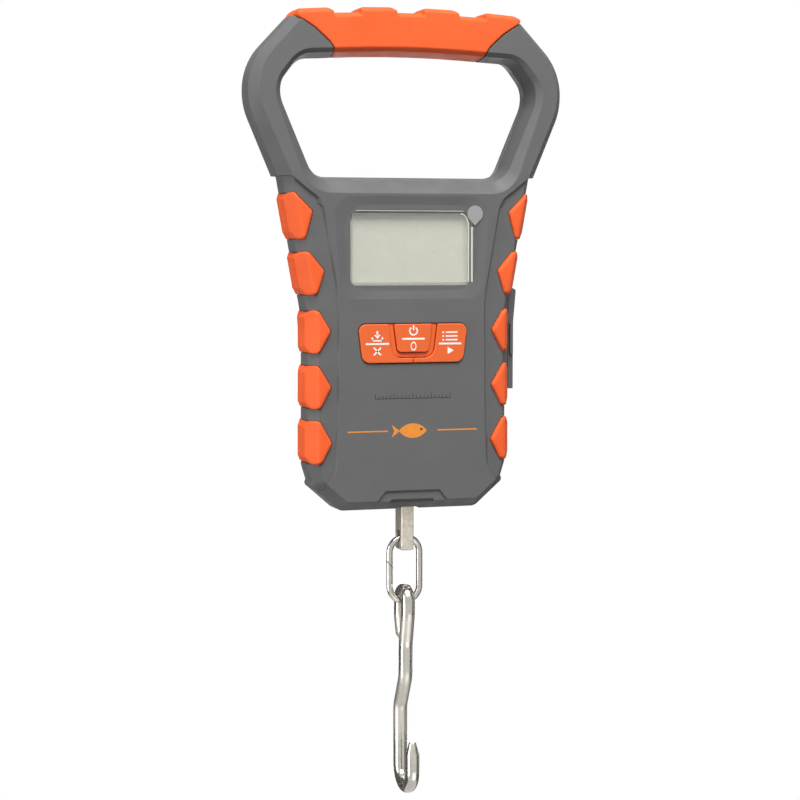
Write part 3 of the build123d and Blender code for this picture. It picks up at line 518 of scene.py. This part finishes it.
# ---------------------------------------------------------------- floor, light and camera
def glowing(name, strength):
    """A stage surface that is white by its own light."""
    material = bpy.data.materials.new(name)
    material.use_nodes = True
    shader = material.node_tree.nodes["Principled BSDF"]
    shader.inputs["Base Color"].default_value = (0, 0, 0, 1)
    shader.inputs["Specular IOR Level"].default_value = 0.0
    shader.inputs["Emission Color"].default_value = (1, 1, 1, 1)
    shader.inputs["Emission Strength"].default_value = strength
    return material


def stage_object(name, work, material, seen_by):
    """A floor, backdrop or reflector, seen only by the kinds of ray that are named."""
    mesh = bpy.data.meshes.new(name)
    work.to_mesh(mesh)
    work.free()
    mesh.materials.append(material)
    piece = add_object(name, mesh)
    for kind in ("camera", "glossy", "diffuse", "transmission", "shadow"):
        setattr(piece, "visible_" + kind, kind in seen_by)
    return piece


def floor_and_backdrop():
    """White floor under the hanging hook, inside a white room."""
    work = bmesh.new()
    bmesh.ops.create_circle(work, cap_ends=True, segments=96, radius=FLOOR_R)
    ground = stage_object("floor", work, glowing("white_floor", 1.0), ("camera",))
    ground.location.z = cad_low.z - FLOOR_DROP
    work = bmesh.new()
    bmesh.ops.create_icosphere(work, subdivisions=4, radius=ROOM_R)
    stage_object("backdrop", work, glowing("white_room", 1.0), ("camera", "glossy"))


def dark_strips(centre):
    """Dark upright strips beside and behind the object that only show as reflections in bright metal."""
    dark = surface("dark_strip", (44, 44, 46), 0.9, layers=())
    half, height = math.radians(STRIP_HALF_ANGLE), STRIP_HALF_HEIGHT
    for turn in STRIP_TURNS:
        work = bmesh.new()
        middle = math.radians(turn - VIEW_YAW)
        corners = []
        for angle, z in ((-half, -height), (half, -height), (half, height), (-half, height)):
            x, y = STRIP_REACH * math.sin(middle + angle), -STRIP_REACH * math.cos(middle + angle)
            corners.append(work.verts.new(centre + Vector((x, y, z))))
        work.faces.new(corners)
        stage_object(f"dark_strip_{turn}", work, dark, ("glossy",))


def softbox(name, offset, size, power, target):
    """A rectangular lamp at an offset from the target, turned to face it."""
    light = bpy.data.lights.new(name, "AREA")
    light.shape = "RECTANGLE"
    light.size, light.size_y = size
    light.energy = power
    holder = bpy.data.objects.new(name, light)
    bpy.context.scene.collection.objects.link(holder)
    holder.location = target + Vector(offset)
    holder.rotation_euler = (-Vector(offset)).to_track_quat("-Z", "Y").to_euler()


def ambient():
    """Even light from all round, stronger from above."""
    world = bpy.data.worlds.new("ambient")
    world.use_nodes = True
    tree = world.node_tree
    place = tree.nodes.new("ShaderNodeTexCoord")
    split = tree.nodes.new("ShaderNodeSeparateXYZ")
    tree.links.new(place.outputs["Generated"], split.inputs["Vector"])
    level = tree.nodes.new("ShaderNodeMapRange")
    level.inputs["From Min"].default_value = -1.0
    level.inputs["From Max"].default_value = 1.0
    level.inputs["To Min"].default_value = 0.30
    level.inputs["To Max"].default_value = 0.74
    tree.links.new(split.outputs["Z"], level.inputs["Value"])
    tree.links.new(level.outputs["Result"], tree.nodes["Background"].inputs["Strength"])
    bpy.context.scene.world = world


def camera():
    """Long lens, to the left of the display's normal and a little above."""
    yaw, pitch = math.radians(VIEW_YAW), math.radians(VIEW_PITCH)
    ahead = Vector((math.sin(yaw) * math.cos(pitch), math.cos(yaw) * math.cos(pitch), -math.sin(pitch)))
    lens = bpy.data.cameras.new("camera")
    lens.sensor_width = SENSOR_MM
    lens.lens = LENS_MM
    holder = bpy.data.objects.new("camera", lens)
    bpy.context.scene.collection.objects.link(holder)
    holder.location = VIEW_AIM - ahead * VIEW_DISTANCE
    holder.rotation_euler = ahead.to_track_quat("-Z", "Y").to_euler()
    bpy.context.scene.camera = holder


centre = (cad_low + cad_high) / 2
floor_and_backdrop()
dark_strips(centre)
softbox("key_light", (-0.15, -0.85, 1.35), (1.3, 0.9), 43.0, centre)
softbox("left_light", (-1.5, -0.15, -0.1), (0.7, 1.4), 17.0, centre)
softbox("low_light", (0.25, -1.1, -0.9), (1.2, 0.7), 4.0, centre)
softbox("rear_light", (0.3, 1.4, -0.05), (1.0, 1.0), 8.0, centre)
softbox("right_light", (1.4, 0.1, 0.0), (0.6, 1.2), 6.0, centre)
ambient()
camera()
bpy.context.scene.view_settings.view_transform = "Standard"
